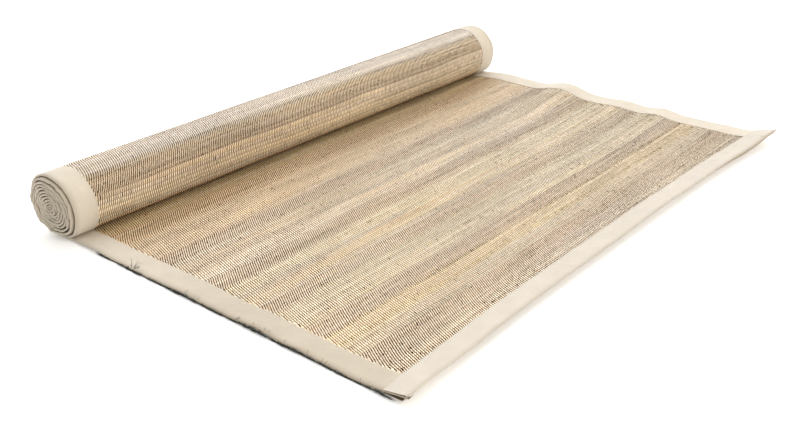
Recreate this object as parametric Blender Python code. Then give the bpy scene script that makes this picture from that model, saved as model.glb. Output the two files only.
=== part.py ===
"""A woven straw yoga mat, part unrolled on the floor.

The mat is one woven straw cloth with cotton tape sewn over its edges. Most of its length is wound into
a roll along the left side, and the rest lies loose to the right of it. The four solids are the pieces
that a maker cuts: the straw cloth, the tape on each long edge, and the tape on the free end.

While the shapes are made, x runs along the mat's length from the roll's axis, y across it from the near
long edge, and z up from the floor. At the end everything moves so that the origin is under the middle.
"""
import math

import bmesh
import bpy
from mathutils import Vector

MM = 0.001

# The cloth
MAT_WIDTH = 700 * MM
TAPE_WIDTH = 27 * MM
STRAW_THICKNESS = 2.4 * MM
TAPE_THICKNESS = 2.8 * MM
TAPE_STANDS_PROUD = 0.2 * MM
TAPE_SHOULDER = 2.0 * MM
SEAM_GAP = 0.3 * MM

# The roll
ROLL_RADIUS = 35.5 * MM
TURN_PITCH = 3.03 * MM
TURNS = 11
STEPS_IN_A_TURN = 36
OPEN_STEPS = 1
EDGE_DEPTH = 1.3 * MM
PROUD_FROM_TURN = 0.15

# How far the wound turns have slipped along the roll's axis
SLIP_ON_THE_SIDE = 4.0 * MM
SLIP_ON_THE_TOP = 2.4 * MM
SLIP_IN_A_TURN = 3.5 * MM
SLIPPING_TURNS = 2.0

# The loose length, from the roll's axis to the free end's middle
LOOSE_LENGTH = 442 * MM
END_BOW = 13 * MM
END_SKEW = 1.5 * MM
END_THICKNESS = 2.0 * MM
LENGTH_STEPS = 38
LENGTH_CROWDING = 1.25
WIDTH_STEPS = 22

# Soft folds across an edge: where along the mat, how high, and how far they reach both ways
FOLDS = (
    # edge, place, height, half_length, reach_inward
    ("far", 60 * MM, 1.2 * MM, 42 * MM, 80 * MM),
    ("far", 161 * MM, 7.6 * MM, 45 * MM, 165 * MM),
    ("far", 250 * MM, 2.4 * MM, 32 * MM, 80 * MM),
    ("far", 306 * MM, 3.6 * MM, 28 * MM, 120 * MM),
    ("far", 392 * MM, 0.8 * MM, 26 * MM, 50 * MM),
    ("near", 55 * MM, 1.4 * MM, 34 * MM, 45 * MM),
    ("near", 190 * MM, 1.2 * MM, 36 * MM, 60 * MM),
    ("near", 283 * MM, 2.2 * MM, 34 * MM, 60 * MM),
    ("near", 334 * MM, 1.2 * MM, 28 * MM, 40 * MM),
)

# The whole long edges stand a little off the floor, from where the roll no longer holds them down
EDGE_RISES = (
    # edge, height, reach_inward
    ("near", 0.9 * MM, 60 * MM),
    ("far", 3.2 * MM, 130 * MM),
)
ROLL_HOLDS_DOWN = 60 * MM

# The free end still curls up from being rolled, most at its corners
END_RISE = 6.4 * MM
END_REACH = 50 * MM
CURLS = (
    # place_across, extra_height, half_width, reach_inward
    (0 * MM, 5.4 * MM, 95 * MM, 55 * MM),
    (430 * MM, 1.6 * MM, 90 * MM, 75 * MM),
    (590 * MM, 1.6 * MM, 90 * MM, 60 * MM),
    (700 * MM, 4.6 * MM, 75 * MM, 55 * MM),
)

STRAW_COLOUR = (0.62, 0.50, 0.34, 1.0)
TAPE_COLOUR = (0.84, 0.77, 0.64, 1.0)
CLOTH_ROUGHNESS = 0.85
SHARP_EDGE_DEGREES = 40


def hump(distance, reach):
    """A soft hump: 1 at its middle and 0 from its reach on."""
    if abs(distance) >= reach:
        return 0.0
    return 0.5 + 0.5 * math.cos(math.pi * distance / reach)


def curl(distance, reach):
    """A curl that steepens to its edge: 1 at the edge and 0 from its reach on."""
    if distance >= reach:
        return 0.0
    return (1 - max(distance, 0.0) / reach) ** 2


def free_end(y):
    """How far from the roll's axis the free end lies at a place across the mat."""
    across = 2 * y / MAT_WIDTH - 1
    return LOOSE_LENGTH + END_BOW * across ** 4 - END_SKEW * across


def rise(x, y):
    """The height of the loose cloth's underside over the floor."""
    height = 0.0
    for edge, place, fold_height, half_length, reach_inward in FOLDS:
        inward = y if edge == "near" else MAT_WIDTH - y
        height += fold_height * hump(x - place, half_length) * hump(max(inward, 0.0), reach_inward)
    for edge, edge_height, reach_inward in EDGE_RISES:
        inward = y if edge == "near" else MAT_WIDTH - y
        height += edge_height * hump(max(inward, 0.0), reach_inward) * (1 - hump(x, ROLL_HOLDS_DOWN))
    from_the_end = free_end(y) - x
    height += END_RISE * curl(from_the_end, END_REACH)
    for place_across, extra_height, half_width, reach_inward in CURLS:
        height += extra_height * curl(from_the_end, reach_inward) * hump(y - place_across, half_width)
    return height


def slip(turn):
    """How far the cloth has slipped along the roll's axis after so many turns."""
    angle = 2 * math.pi * turn
    lean = SLIP_ON_THE_SIDE * math.sin(angle) + SLIP_ON_THE_TOP * (1 - math.cos(angle))
    return -lean * (1 - turn / TURNS) - SLIP_IN_A_TURN * min(turn, SLIPPING_TURNS)


def wound_point(turn, proud, y):
    """A point on the outer face of the wound cloth, counted in turns from where it leaves the floor."""
    angle = -math.pi / 2 - 2 * math.pi * turn
    radius = ROLL_RADIUS - TURN_PITCH * turn + proud * min(turn / PROUD_FROM_TURN, 1.0)
    return Vector((radius * math.cos(angle), y + slip(turn), ROLL_RADIUS + radius * math.sin(angle)))


WOUND_STEPS = STEPS_IN_A_TURN - OPEN_STEPS
THROAT = wound_point(WOUND_STEPS / STEPS_IN_A_TURN, 0.0, 0.0).x


def loose_point(share, y, height):
    """A point of the loose cloth, at a share of the way from the roll's throat to the end tape."""
    reach = free_end(y) - TAPE_WIDTH - SEAM_GAP / 2
    x = THROAT + (reach - THROAT) * share
    return Vector((x, y, rise(x, y) + height))


def length_shares():
    """Places along the loose cloth, from the throat to the end tape, closer together near the tape."""
    steps = range(LENGTH_STEPS + 1)
    return [1 - (1 - step / LENGTH_STEPS) ** LENGTH_CROWDING for step in steps]


def outline(y, thickness, proud):
    """The closed outline of the roll and the loose cloth at one place across the mat."""
    shares = length_shares()
    under = [loose_point(share, y, 0.0) for share in reversed(shares)]
    wound = [wound_point(step / STEPS_IN_A_TURN, proud, y) for step in range(WOUND_STEPS + 1)]
    upper = [loose_point(share, y, thickness) for share in shares]
    return under + wound + upper


def add_rows(bm, rows):
    """Makes the points of each row, and four-sided faces between one closed row and the next."""
    made = [[bm.verts.new(point) for point in row] for row in rows]
    for first, second in zip(made, made[1:]):
        for index in range(len(first)):
            following = (index + 1) % len(first)
            bm.faces.new((first[index], first[following], second[following], second[index]))
    return made


def close_loose_part(bm, row):
    """Closes one side of the loose cloth, between its underside and its upper face."""
    last = len(row) - 1
    for index in range(LENGTH_STEPS):
        bm.faces.new((row[index], row[index + 1], row[last - index - 1], row[last - index]))


def wound_part(row):
    """The part of a row that goes round the roll, from the throat's underside to its upper face."""
    return row[LENGTH_STEPS:len(row) - LENGTH_STEPS]


def close_roll_flat(bm, row, y):
    """Closes one side of the roll with a fan round its axis."""
    loop = wound_part(row)
    centre = bm.verts.new((0.0, y + slip(TURNS), ROLL_RADIUS))
    for index in range(len(loop)):
        bm.faces.new((loop[index], loop[(index + 1) % len(loop)], centre))


def close_roll_in_turns(bm, row, proud, y, inward):
    """Closes the roll's end with its wound edges: a spiral ridge, with a groove between its turns."""
    loop = wound_part(row)
    throat_under, ridge, throat_upper = loop[0], loop[1:-1], loop[-1]
    last_step = (TURNS - 1) * STEPS_IN_A_TURN
    for step in range(len(ridge), last_step + STEPS_IN_A_TURN + 1):
        ridge.append(bm.verts.new(wound_point(step / STEPS_IN_A_TURN, proud, y)))
    groove = []
    for step in range(last_step + 1):
        outer, inner = ridge[step].co, ridge[step + STEPS_IN_A_TURN].co
        groove.append(bm.verts.new((outer + inner) / 2 + Vector((0, inward * EDGE_DEPTH, 0))))
    for step in range(last_step):
        following = step + STEPS_IN_A_TURN
        bm.faces.new((ridge[step], ridge[step + 1], groove[step + 1], groove[step]))
        bm.faces.new((groove[step], groove[step + 1], ridge[following + 1], ridge[following]))
    under_roll = ridge[WOUND_STEPS:STEPS_IN_A_TURN + 1]
    patch = [ridge[0], throat_under, throat_upper] + under_roll
    for first, second in zip(patch, patch[1:]):
        bm.faces.new((groove[0], first, second))
    centre = bm.verts.new((0.0, y + slip(TURNS), ROLL_RADIUS))
    core = ridge[last_step:] + [groove[last_step]]
    for index in range(len(core)):
        bm.faces.new((core[index], core[(index + 1) % len(core)], centre))


def add_object(bm, name, material):
    """Turns a finished mesh into a named object, its faces pointing out."""
    bmesh.ops.recalc_face_normals(bm, faces=bm.faces)
    bmesh.ops.triangulate(bm, faces=bm.faces)
    mesh = bpy.data.meshes.new(name)
    bm.to_mesh(mesh)
    bm.free()
    mesh.materials.append(material)
    mesh.shade_smooth()
    mesh.set_sharp_from_angle(angle=math.radians(SHARP_EDGE_DEGREES))
    piece = bpy.data.objects.new(name, mesh)
    bpy.context.collection.objects.link(piece)
    return piece


def cloth_material(name, colour):
    """A plain matt cloth."""
    material = bpy.data.materials.new(name)
    material.use_nodes = True
    shader = material.node_tree.nodes["Principled BSDF"]
    shader.inputs["Base Color"].default_value = colour
    shader.inputs["Roughness"].default_value = CLOTH_ROUGHNESS
    shader.inputs["Metallic"].default_value = 0.0
    return material


def straw_rows():
    """Places across the straw cloth, closer together near its long edges."""
    near = TAPE_WIDTH + SEAM_GAP / 2
    far = MAT_WIDTH - near
    shares = [(1 - math.cos(math.pi * step / WIDTH_STEPS)) / 2 for step in range(WIDTH_STEPS + 1)]
    return [near + (far - near) * share for share in shares]


def tape_rows():
    """Places across the near tape, from the mat's edge to the straw."""
    inner = TAPE_WIDTH - SEAM_GAP / 2
    return [0.0, inner / 2, inner - TAPE_SHOULDER, inner]


def make_straw(material):
    """The woven straw: the wound roll and the loose cloth in one."""
    rows = straw_rows()
    bm = bmesh.new()
    made = add_rows(bm, [outline(y, STRAW_THICKNESS, 0.0) for y in rows])
    for row, y in ((made[0], rows[0]), (made[-1], rows[-1])):
        close_loose_part(bm, row)
        close_roll_flat(bm, row, y)
    return add_object(bm, "straw_field", material)


def make_side_tape(name, rows, inward, material):
    """The tape on a long edge: its wound turns at the roll's end, and its loose strip."""
    bm = bmesh.new()
    outlines = [outline(y, TAPE_THICKNESS, TAPE_STANDS_PROUD) for y in rows[:-1]]
    outlines.append(outline(rows[-1], STRAW_THICKNESS, 0.0))
    made = add_rows(bm, outlines)
    close_loose_part(bm, made[0])
    close_roll_in_turns(bm, made[0], TAPE_STANDS_PROUD, rows[0], inward)
    close_loose_part(bm, made[-1])
    close_roll_flat(bm, made[-1], rows[-1])
    return add_object(bm, name, material)


def make_end_tape(material):
    """The tape on the free end, which runs from one long edge to the other."""
    near_rows = tape_rows()
    far_rows = [MAT_WIDTH - y for y in reversed(near_rows)]
    sections = []
    for y in near_rows + straw_rows() + far_rows:
        outer = free_end(y)
        inner = outer - TAPE_WIDTH + SEAM_GAP / 2
        middle = (inner + outer) / 2
        under = [Vector((x, y, rise(x, y))) for x in (inner, middle, outer)]
        upper = [
            Vector((outer, y, rise(outer, y) + END_THICKNESS)),
            Vector((middle, y, rise(middle, y) + TAPE_THICKNESS)),
            Vector((inner, y, rise(inner, y) + TAPE_THICKNESS)),
        ]
        sections.append(under + upper)
    bm = bmesh.new()
    made = add_rows(bm, sections)
    for row in (made[0], made[-1]):
        bm.faces.new((row[0], row[1], row[4], row[5]))
        bm.faces.new((row[1], row[2], row[3], row[4]))
    return add_object(bm, "binding_end", material)


def stand_on_the_origin(pieces):
    """Moves the points so that the origin lies under the middle, on the floor."""
    points = [vertex.co for piece in pieces for vertex in piece.data.vertices]
    low = Vector([min(point[axis] for point in points) for axis in range(3)])
    high = Vector([max(point[axis] for point in points) for axis in range(3)])
    middle = Vector(((low.x + high.x) / 2, (low.y + high.y) / 2, low.z))
    for piece in pieces:
        for vertex in piece.data.vertices:
            vertex.co -= middle


def main():
    """Clears the scene and makes the four pieces."""
    for old in list(bpy.data.objects):
        bpy.data.objects.remove(old, do_unlink=True)
    straw = cloth_material("straw", STRAW_COLOUR)
    tape = cloth_material("cotton_tape", TAPE_COLOUR)
    near_rows = tape_rows()
    far_rows = [MAT_WIDTH - y for y in near_rows]
    pieces = [
        make_straw(straw),
        make_side_tape("binding_near", near_rows, 1, tape),
        make_side_tape("binding_far", far_rows, -1, tape),
        make_end_tape(tape),
    ]
    stand_on_the_origin(pieces)


main()
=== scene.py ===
"""The looks of a woven straw yoga mat with a cotton binding, part unrolled on the floor.

Places on the mat are given as along, from the line where the roll stands on the floor (plus towards the
free end, minus into the roll), across, from the near long edge, and lift, from the lower face of the
loose cloth, which is the outer face of the roll. Sizes are in metres.
"""
import math

import bpy
import numpy as np
from mathutils import Matrix, Vector


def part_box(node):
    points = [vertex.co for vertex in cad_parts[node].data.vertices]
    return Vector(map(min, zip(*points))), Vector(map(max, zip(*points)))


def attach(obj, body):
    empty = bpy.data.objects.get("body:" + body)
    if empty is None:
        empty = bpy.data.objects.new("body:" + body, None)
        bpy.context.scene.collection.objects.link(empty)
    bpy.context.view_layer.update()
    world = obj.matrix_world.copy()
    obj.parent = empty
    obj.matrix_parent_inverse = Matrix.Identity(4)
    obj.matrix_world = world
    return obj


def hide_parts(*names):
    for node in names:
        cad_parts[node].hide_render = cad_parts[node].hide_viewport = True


bl_info = {
    "name": "Straw Mat",
    "version": (1, 0, 0),
    "blender": (4, 5, 0),
    "location": "View3D > Sidebar > Straw Mat",
    "description": "Weaves a part-rolled straw mat with a cotton binding",
    "category": "Add Mesh",
}

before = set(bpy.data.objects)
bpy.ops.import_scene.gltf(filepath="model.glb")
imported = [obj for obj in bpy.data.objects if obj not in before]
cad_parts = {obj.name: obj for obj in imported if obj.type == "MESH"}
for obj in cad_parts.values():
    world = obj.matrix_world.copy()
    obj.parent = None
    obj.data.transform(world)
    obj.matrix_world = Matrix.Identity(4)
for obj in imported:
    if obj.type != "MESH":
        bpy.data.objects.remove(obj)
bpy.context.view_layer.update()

MM = 0.001

# The roll, in the sizes of its solids
ROLL_RADIUS = 35.5 * MM
TURN_PITCH = 3.03 * MM
TURNS = 11
TAPE_STANDS_PROUD = 0.2 * MM
SLIP_ON_THE_SIDE = 3.2 * MM
SLIP_ON_THE_TOP = 2.4 * MM
SLIP_IN_A_TURN = 3.5 * MM
SLIPPING_TURNS = 2.0

# The inner turns have settled off centre and a little out of round, away from the loose outer one
SETTLES_FROM_TURN = 0.9
SETTLED_CENTRE = (-3.0 * MM, -1.6 * MM)
SLACK = 0.45 * MM
SLACK_TAKEN_BY_TURN = 3.2
OUT_OF_ROUND = 0.62 * MM

# The roll sags under its own weight: its lower right side bulges and lies on the loose cloth
BULGE = 3.0 * MM
BULGE_ANGLE = math.radians(-52)
BULGE_REACH = math.radians(45)
ROLL_LIES_AT = 3.1 * MM

# The places of the mat in the frame, from its nodes
NEAR_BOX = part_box("binding_near")
END_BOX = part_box("binding_end")
EDGE_Y = END_BOX[0].y
MAT_WIDTH = END_BOX[1].y - END_BOX[0].y
AXIS_X = NEAR_BOX[0].x + ROLL_RADIUS - TURN_PITCH / 4 + TAPE_STANDS_PROUD

# The loose length
LOOSE_LENGTH = 442 * MM
END_BOW = 13 * MM
END_SKEW = 1.5 * MM
NEAR_CORNER_SHORT = 2.4 * MM
BOW_STARTS = 330 * MM
BOW_GROWS = 2.5
FOLDS = (
    # edge, place, height, half_length, reach_inward
    ("far", 60 * MM, 1.2 * MM, 42 * MM, 80 * MM),
    ("far", 161 * MM, 7.6 * MM, 45 * MM, 165 * MM),
    ("far", 250 * MM, 2.4 * MM, 32 * MM, 80 * MM),
    ("far", 306 * MM, 3.6 * MM, 28 * MM, 120 * MM),
    ("far", 392 * MM, 0.8 * MM, 26 * MM, 50 * MM),
    ("near", 55 * MM, 1.4 * MM, 34 * MM, 45 * MM),
    ("near", 190 * MM, 1.2 * MM, 36 * MM, 60 * MM),
    ("near", 283 * MM, 2.2 * MM, 34 * MM, 60 * MM),
    ("near", 334 * MM, 1.2 * MM, 28 * MM, 40 * MM),
)
EDGE_RISES = (
    # edge, height, reach_inward
    ("near", 0.9 * MM, 60 * MM),
    ("far", 3.2 * MM, 130 * MM),
)
ROLL_HOLDS_DOWN = 60 * MM
END_RISE = 6.4 * MM
END_REACH = 50 * MM
CURLS = (
    # place_across, extra_height, half_width, reach_inward
    (0 * MM, 2.6 * MM, 95 * MM, 55 * MM),
    (430 * MM, 1.6 * MM, 90 * MM, 75 * MM),
    (590 * MM, 1.6 * MM, 90 * MM, 60 * MM),
    (700 * MM, 4.6 * MM, 75 * MM, 55 * MM),
)

# The bands of straw, each from its start to the next one's
BANDS = (
    # starts, straw_width, shade
    (-236 * MM, 4.4 * MM, "wheat_painted_light"),
    (-206 * MM, 2.6 * MM, "russet_painted_light"),
    (-186 * MM, 5.2 * MM, "honey_painted_light"),
    (-155 * MM, 2.1 * MM, "umber"),
    (-131 * MM, 4.3 * MM, "pearl_painted_sheen"),
    (-104 * MM, 2.1 * MM, "smoke"),
    (-76 * MM, 4.6 * MM, "cream"),
    (-52 * MM, 2.2 * MM, "smoke"),
    (-22 * MM, 4.4 * MM, "cream"),
    (18 * MM, 4.2 * MM, "yellow_painted_light"),
    (42 * MM, 2.05 * MM, "bark_painted_light"),
    (69 * MM, 4.6 * MM, "blush_painted_light"),
    (114 * MM, 2.05 * MM, "smoke"),
    (136 * MM, 3.9 * MM, "dun"),
    (146 * MM, 4.6 * MM, "cream"),
    (169 * MM, 4.7 * MM, "ivory"),
    (186 * MM, 1.95 * MM, "smoke"),
    (212 * MM, 4.6 * MM, "sage"),
    (238 * MM, 4.6 * MM, "peach"),
    (256 * MM, 2.05 * MM, "smoke"),
    (277 * MM, 4.7 * MM, "sage"),
    (314 * MM, 2.2 * MM, "smoke"),
    (338 * MM, 4.5 * MM, "gold"),
    (362 * MM, 4.4 * MM, "cream"),
    (375 * MM, 2.0 * MM, "smoke"),
    (400 * MM, 2.8 * MM, "ash"),
)
STRAW_ENDS = 421 * MM
WIDTH_BLENDS_OVER = 4 * MM
SHADE_BLENDS_OVER = 5 * MM

# The straws' colours, as a screen names them. The shades of the bands beside the roll and on its lower side
# are lightened as painted light, and the one on the roll's top is whitened as a painted sheen
SHADES = {
    "smoke": (0.825, 0.750, 0.648),
    # Painted light: lightened where the roll's shade falls beside it
    "bark_painted_light": (0.868, 0.770, 0.640),
    "umber": (0.790, 0.715, 0.615),
    # Painted light: lightened on the roll's lower side
    "russet_painted_light": (0.860, 0.760, 0.628),
    "ash": (0.865, 0.800, 0.705),
    "dun": (0.830, 0.765, 0.665),
    "cream": (0.850, 0.773, 0.662),
    "ivory": (0.890, 0.810, 0.697),
    "sage": (0.856, 0.788, 0.666),
    # Painted light: lightened where the roll's shade falls beside it
    "blush_painted_light": (0.895, 0.800, 0.672),
    # Painted sheen: whitened on the roll's top
    "pearl_painted_sheen": (0.828, 0.780, 0.715),
    "peach": (0.870, 0.780, 0.650),
    "gold": (0.845, 0.758, 0.618),
    # Painted light: this shade lies beside the roll and the next two on its lower side, all lightened
    "yellow_painted_light": (0.875, 0.785, 0.625),
    "honey_painted_light": (0.905, 0.830, 0.725),
    "wheat_painted_light": (0.900, 0.815, 0.680),
}

# Single straws of another shade than their band's
ODD_STRAWS = (
    # place, from_across, to_across, shade
    (236 * MM, 20 * MM, 260 * MM, "umber"),
    (245 * MM, 300 * MM, 700 * MM, "ivory"),
    (128 * MM, 480 * MM, 660 * MM, "umber"),
    (302 * MM, 330 * MM, 700 * MM, "dun"),
    (308 * MM, 0 * MM, 700 * MM, "ivory"),
    (314 * MM, 0 * MM, 330 * MM, "umber"),
    (355 * MM, 0 * MM, 420 * MM, "yellow_painted_light"),
    (30 * MM, 100 * MM, 700 * MM, "ivory"),
    (106 * MM, 230 * MM, 470 * MM, "ivory"),
)
ODD_STRAW_REACH = 1.9 * MM
ODD_STRAW_TONE = 0.98

# How much the straws' colours vary: from straw to straw, where one ends inside a row, and over the mat
STRAW_TONES = 0.052
STRAW_HUES = 0.006
JOINT_TONES = 0.035
JOINT_WARMTH = 0.009
# Painted sheen: the straws are whiter and bluer towards the far edge, most on the roll
FAR_SHEEN_TINT = np.array([0.02, 0.045, 0.065])
ROLL_SHEEN = 0.14
WARMER = np.array([1.0, 0.1, -1.6])

# How the straw cloth is laid and pressed under its tapes
STRAW_TUCKED_IN = 5 * MM
PRESSED_FROM = -0.9 * MM
PRESSED_TO = 0.4 * MM
PRESSED_SHARE = 0.66
LOOSE_STRAW_LIFT = 0.15 * MM
STATIONS_ACROSS = 39
INNER_STEPS_IN_A_TURN = 20
OVER_THE_FLOOR = 0.05 * MM
FLOOR_HEIGHT = -0.05 * MM

# The warp threads
FINE_STRAW = 3.2 * MM
THREAD_SLANT = 0.85
FINE_STRAW_THREAD = 1.3
THREAD_STANDS_OFF = 0.04 * MM
BOLD_LENGTH = 190 * MM
KNOTS = 0.02
FLOAT_LINES = (
    # share_of_the_straw, height, width
    (0.0, 0, 0.6),
    (0.28, 1, 1.0),
    (0.72, 1, 1.0),
    (1.0, 0, 0.6),
)

# The fibres that fray from the near edge. The dark ones along its fold also stand in for the shade in the
# gap under it, as painted shade
FRAY_FROM = 62 * MM
FRAY_TO = 432 * MM
FRAY_COUNT = 900
FRAY_STUBBLE = 260
FRAY_STARTS = -0.8 * MM
FIBRE_TAPER = np.array([0.7, 1.0, 0.9, 0.6, 0.1])
FIBRE_TUFTS = (
    # place, spread, count, longest
    (115 * MM, 5 * MM, 9, 12 * MM),
    (190 * MM, 4 * MM, 4, 6 * MM),
    (205 * MM, 4 * MM, 5, 8 * MM),
    (258 * MM, 3 * MM, 4, 7 * MM),
    (290 * MM, 10 * MM, 7, 7 * MM),
    (320 * MM, 4 * MM, 4, 6 * MM),
    (350 * MM, 5 * MM, 5, 6 * MM),
    (365 * MM, 5 * MM, 5, 6 * MM),
    (410 * MM, 14 * MM, 6, 5 * MM),
)

# The tapes' folds. The roll's inner turns are thinner at the fold, most on their loose side
SIDE_NOSE = 1.7 * MM
END_NOSE = 1.5 * MM
LEAF_LINES = np.array([1.0, 0.965, 0.78, 0.5, 0.24])
LEAF_EDGE_PRESSED = 0.2 * MM
RAGGED_EDGE = 0.30 * MM
THIN_FOLD = 0.87
THIN_FOLD_WANDERS = 0.14
LOOSE_SIDE_THINS = 0.03
LOOSE_SIDE = math.radians(70)
KINK = 0.42
SIDE_PUCKER = 0.09 * MM
END_PUCKER = 0.10 * MM
FINELY_WOUND_TURNS = 7

# How far the near and far tapes' inner edges wander from their width
TAPE_WANDERS = (
    # place, near_edge, far_edge
    (0 * MM, -0.6 * MM, 0.4 * MM),
    (90 * MM, -1.0 * MM, 0.8 * MM),
    (165 * MM, 0.9 * MM, -0.8 * MM),
    (250 * MM, -0.4 * MM, 0.6 * MM),
    (370 * MM, -1.3 * MM, -0.5 * MM),
    (442 * MM, 0.2 * MM, 0.3 * MM),
)

# The end tape: its round near corner gapes, and its lower leaf is drawn in and hangs beside the far corner
CORNER_LINES = np.array([0.0, 1.5, 4.0, 8.0, 14.0, 20.0, 24.0, 28.0, 33.0]) * MM
CORNER_OPENS = 34 * MM
CORNER_ROUND = 8 * MM
CORNER_CUT = 3.4 * MM
CORNER_SAG = 0.46
CORNER_LEAF_IN = 3.0 * MM
LOWER_LEAF_IN = 1.3 * MM
LEAF_IN_UNTIL = (480 * MM, 580 * MM)
END_THINS_OVER = 16 * MM
OVER_THE_SIDE_TAPE = 0.16
FAR_FOLD_HANGS = 2.6 * MM
FAR_FOLD_AT = 632 * MM
FAR_FOLD_REACH = 92 * MM

# How soiled the tapes are, on their folds and all over, and where shade is painted on them: along the near
# tape, on the free end's fold, inside the folds and between the roll's turns
SIDE_FOLD_SOIL = 0.30
UPPER_FOLD_SOIL = 0.2
# Painted shade: the near tape darkens towards the free end
NEAR_TAPE_SHADE = 0.25
END_TAPE_SOIL = 0.10
# Painted shade: the free end's fold is darkened for the shade under the curled end, most on its lower side
END_FOLD_SHADE = 0.90

# The stitches
STITCH_RISE = (-0.12 * MM, 0.10 * MM, 0.10 * MM, -0.12 * MM)
STITCH_RADII = (0.05 * MM, 0.17 * MM, 0.17 * MM, 0.05 * MM)

# The stage. The camera's place is measured from the roll's axis and the near edge
CAMERA_PLACE = (855.47 * MM, -483.78 * MM, 462.76 * MM)
CAMERA_YAW = math.radians(40.374)
CAMERA_PITCH = math.radians(25.679)
CAMERA_ROLL = math.radians(-0.550)
FLOOR_SIZE = 30.0
BRIGHT_SIDE = (-0.68, 0.70, 0.28)
BRIGHT_FROM = 0.45
LIGHTS = (
    # name, place, aim, size, colour
    ("key", (-0.9, 1.3, 2.4), (0.0, 0.0, 0.0), 2.4, (1.0, 1.0, 1.0)),
    ("fill", (1.7, 0.0, 1.1), (-0.1, 0.0, 0.03), 1.0, (1.0, 0.90, 0.74)),
)


def sized(name, description, default):
    """A length that a user may change."""
    return bpy.props.FloatProperty(name=name, description=description, default=default, unit="LENGTH")


def coloured(name, description, default):
    """A colour that a user may change."""
    return bpy.props.FloatVectorProperty(
        name=name, description=description, default=default, subtype="COLOR", min=0.0, max=1.0,
    )


def set_to(name, description, default, **kind):
    """A strength or another plain number that a user may change."""
    return bpy.props.FloatProperty(name=name, description=description, default=default, min=0.0, **kind)


class MatShape(bpy.types.PropertyGroup):
    """The cloth's thickness and the tape round its edges."""

    straw_thickness: sized("Straw thickness", "From the ridges of one face to those of the other", 2.4 * MM)
    tape_thickness: sized(
        "Bound thickness", "Over both leaves of the tape and the straw between them", 2.8 * MM,
    )
    tape_width: sized("Tape width", "How much tape shows on each face of the mat", 27 * MM)
    tape_cloth: sized("Tape cloth", "The thickness of one leaf of the tape", 0.42 * MM)
    end_thickness: sized("End thickness", "Over the fold of the tape on the free end", 2.0 * MM)


class WeaveLooks(bpy.types.PropertyGroup):
    """The straw and the warp threads that hold it."""

    warp_pitch: sized("Warp pitch", "From one thread to the next that shows on the same straw", 2.6 * MM)
    thread_width: sized("Thread width", "The width of a warp thread on a straw's back", 0.80 * MM)
    thread_height: sized("Thread height", "How far a warp thread stands over the straw", 0.16 * MM)
    fine_depth: sized("Fine straw depth", "How deep the dips are between fine straws", 0.32 * MM)
    coarse_depth: sized("Coarse straw depth", "How deep the dips are between coarse straws", 0.48 * MM)
    thread_colour: coloured("Thread colour", "The warp threads' colour", (0.110, 0.062, 0.030))
    # The dip colour is painted shade, deep between two straws
    shadow_colour: coloured("Dip colour", "The colour deep between two straws", (0.16, 0.105, 0.06))
    # The dark fibre colour is also painted shade where the fibres fill the gap under the near edge
    fray_and_gap_shade_colour: coloured(
        "Loose fibre colour", "The colour of the fibres that fray from the near edge", (0.100, 0.100, 0.084),
    )
    roughness: set_to("Straw roughness", "How matt the straw is", 0.40, subtype="FACTOR", max=1.0)


class TapeLooks(bpy.types.PropertyGroup):
    """The cotton tape."""

    colour: coloured("Tape colour", "The cotton's colour", (0.665, 0.610, 0.535))
    weave_pitch: sized("Weave pitch", "From one cotton yarn to the next", 0.55 * MM)
    side_tint: coloured(
        "Side tint", "What the colour is multiplied by along the long edges", (0.99, 0.975, 0.935),
    )
    # The soil tint darkens the cotton where it is soiled and where shade is painted on it
    soil_and_shade_tint: coloured(
        "Soil tint", "What the cotton's colour is multiplied by where it is most soiled", (0.30, 0.24, 0.15),
    )
    thread_colour: coloured("Sewing thread", "The colour of the seams", (0.68, 0.62, 0.54))
    stitch_length: sized("Stitch length", "The length of one stitch of the seam", 2.6 * MM)
    stitch_pitch: sized("Stitch pitch", "From one stitch to the next", 3.5 * MM)
    seam_inset: sized("Seam inset", "From the tape's inner edge to its seam", 1.6 * MM)


class StageLooks(bpy.types.PropertyGroup):
    """The floor, the lights and the camera."""

    floor_colour: coloured("Floor colour", "The pale floor", (0.93, 0.93, 0.93))
    floor_glow: set_to("Floor glow", "How far the floor is lit through from below", 0.11)
    sky_above: set_to("Sky above", "The soft light from straight above", 0.73)
    sky_around: set_to("Sky around", "The soft light from all round, low down", 0.80)
    sky_behind: set_to("Sky behind", "How much stronger the low light is behind and to the left", 1.5)
    key_power: set_to("Key light", "The large light behind and to the left", 10.0, unit="POWER")
    fill_power: set_to("Warm fill", "The warm light from the right", 13.0, unit="POWER")
    lens: set_to("Lens", "The camera's focal length in millimetres", 46.32, unit="CAMERA")


def hump(distance, reach):
    """A soft hump: 1 at its middle and 0 from its reach on."""
    share = np.clip(np.abs(distance) / reach, 0.0, 1.0)
    return 0.5 + 0.5 * np.cos(np.pi * share)


def curl(distance, reach):
    """A curl that steepens to its edge: 1 at the edge and 0 from its reach on."""
    return (1 - np.clip(distance / reach, 0.0, 1.0)) ** 2


def ramp(value, start, end):
    """0 up to the start, 1 from the end on, and soft in between."""
    share = np.clip((value - start) / (end - start), 0.0, 1.0)
    return share * share * (3 - 2 * share)


def wander(value, wavelength, seed):
    """A smooth uneven wave between about -1 and 1, with its own phases for each seed."""
    phases = np.random.default_rng(seed).uniform(0, 2 * np.pi, 4)
    waves = zip((1.0, 0.57, 0.31, 0.19), (0.45, 0.3, 0.2, 0.15), phases)
    turns = 2 * np.pi * value / wavelength
    return sum(share * np.sin(turns / scale + phase) for scale, share, phase in waves)


def bow(across):
    """How much further than its middle the free end reaches at a place across the mat."""
    share = 2 * across / MAT_WIDTH - 1
    return END_BOW * share ** 4 - END_SKEW * share - NEAR_CORNER_SHORT * hump(across, 95 * MM)


def inward_of(edge, across):
    """The distance from a long edge."""
    return across if edge == "near" else MAT_WIDTH - across


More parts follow.
